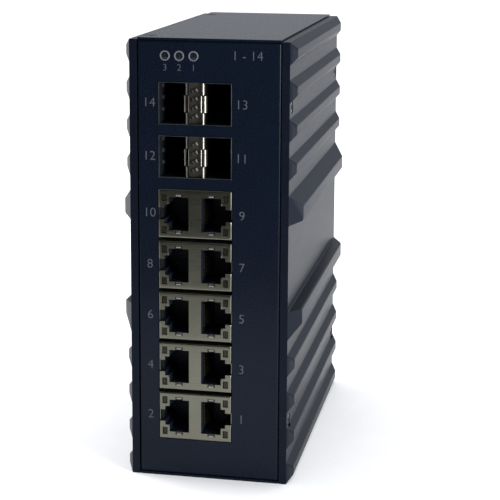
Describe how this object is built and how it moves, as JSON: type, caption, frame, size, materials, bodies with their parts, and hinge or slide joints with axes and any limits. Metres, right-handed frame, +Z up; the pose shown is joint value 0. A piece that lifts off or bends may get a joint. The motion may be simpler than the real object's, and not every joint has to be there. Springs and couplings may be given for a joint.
{
  "type": "industrial network switch",
  "caption": "Upright industrial network switch with copper jacks and fibre module slots in a navy metal case between ribbed heat-sinking side plates, with a rail clip on its back.",
  "frame": {"origin": "on the standing surface, under the middle of the case (without the rail clip)", "axes": "+X to the right of the front face, +Y from the front face to the back, +Z up"},
  "size_m": [0.0632, 0.1279, 0.1554],
  "materials": {
    "navy_sheet": "satin powder coat",
    "navy_extrusion": "satin paint on extruded aluminium",
    "black_screw": "black oxide",
    "lamp_ring": "satin",
    "clear_plastic": "moulded clear",
    "black_plastic": "moulded",
    "nickel_sheet": "nickel plated",
    "gold_contact": "gold plated",
    "circuit_board": "solder mask",
    "chip_epoxy": "moulded epoxy",
    "gap_pad": "soft silicone",
    "zinc_steel": "zinc plated",
    "ferrite": "dark ferrite",
    "capacitor_sleeve": "shrink sleeve",
    "relay_shell": "moulded",
    "terminal_green": "moulded",
    "tinned_pin": "tin plated",
    "red_button": "moulded",
    "white_slider": "moulded",
    "latch_black": "glass-filled nylon",
    "spring_steel": "spring wire"
  },
  "bodies": {
    "case": {"front_panel": "navy_sheet", "top_cover": "navy_sheet", "bottom_cover": "navy_sheet", "back_plate": "navy_sheet", "left_side_plate": "navy_extrusion", "right_side_plate": "navy_extrusion", "side_screws": "black_screw", "cover_screws": "black_screw", "led_bezels": "lamp_ring", "status_leds": "clear_plastic", "port_light_pipes": "clear_plastic", "led_holder": "black_plastic", "sfp_connectors_lower": "black_plastic", "sfp_connectors_upper": "black_plastic", "board_link": "black_plastic", "reset_switch": "black_plastic", "dip_switch_body": "black_plastic", "jack_body_1": "black_plastic", "jack_body_2": "black_plastic", "jack_body_3": "black_plastic", "jack_body_4": "black_plastic", "jack_body_5": "black_plastic", "sfp_cage_lower": "nickel_sheet", "sfp_cage_upper": "nickel_sheet", "sfp_fingers_lower": "nickel_sheet", "sfp_fingers_upper": "nickel_sheet", "jack_shield_1": "nickel_sheet", "jack_shield_2": "nickel_sheet", "jack_shield_3": "nickel_sheet", "jack_shield_4": "nickel_sheet", "jack_shield_5": "nickel_sheet", "jack_contacts_1": "gold_contact", "jack_contacts_2": "gold_contact", "jack_contacts_3": "gold_contact", "jack_contacts_4": "gold_contact", "jack_contacts_5": "gold_contact", "main_board": "circuit_board", "power_board": "circuit_board", "switch_chip": "chip_epoxy", "phy_chips": "chip_epoxy", "power_transistors": "chip_epoxy", "chip_pads": "gap_pad", "power_pads": "gap_pad", "board_standoffs": "zinc_steel", "board_screws": "zinc_steel", "din_screws": "zinc_steel", "ground_screw": "zinc_steel", "din_bracket": "zinc_steel", "power_transformer": "ferrite", "power_inductor": "ferrite", "bulk_capacitors": "capacitor_sleeve", "alarm_relay": "relay_shell", "terminal_header": "terminal_green", "terminal_pins": "tinned_pin", "din_spring": "spring_steel"},
    "latch": {"din_latch": "latch_black"},
    "reset": {"reset_button": "red_button"},
    "option_1": {"dip_slider_1": "white_slider"},
    "option_2": {"dip_slider_2": "white_slider"}
  },
  "joints": [
    {"name": "latch_slide", "type": "slide", "parent": "case", "child": "latch", "axis": [0, 0, -1], "range_m": [0, 0.0045], "stiffness_N_per_m": 1200, "springref_m": -0.003, "deforming": ["din_spring"]},
    {"name": "reset_press", "type": "slide", "parent": "case", "child": "reset", "axis": [0, 0, 1], "range_m": [0, 0.0005], "stiffness_N_per_m": 1500, "springref_m": -0.0002},
    {"name": "option_1_slide", "type": "slide", "parent": "case", "child": "option_1", "axis": [1, 0, 0], "range_m": [0, 0.0016]},
    {"name": "option_2_slide", "type": "slide", "parent": "case", "child": "option_2", "axis": [1, 0, 0], "range_m": [0, 0.0016]}
  ]
}
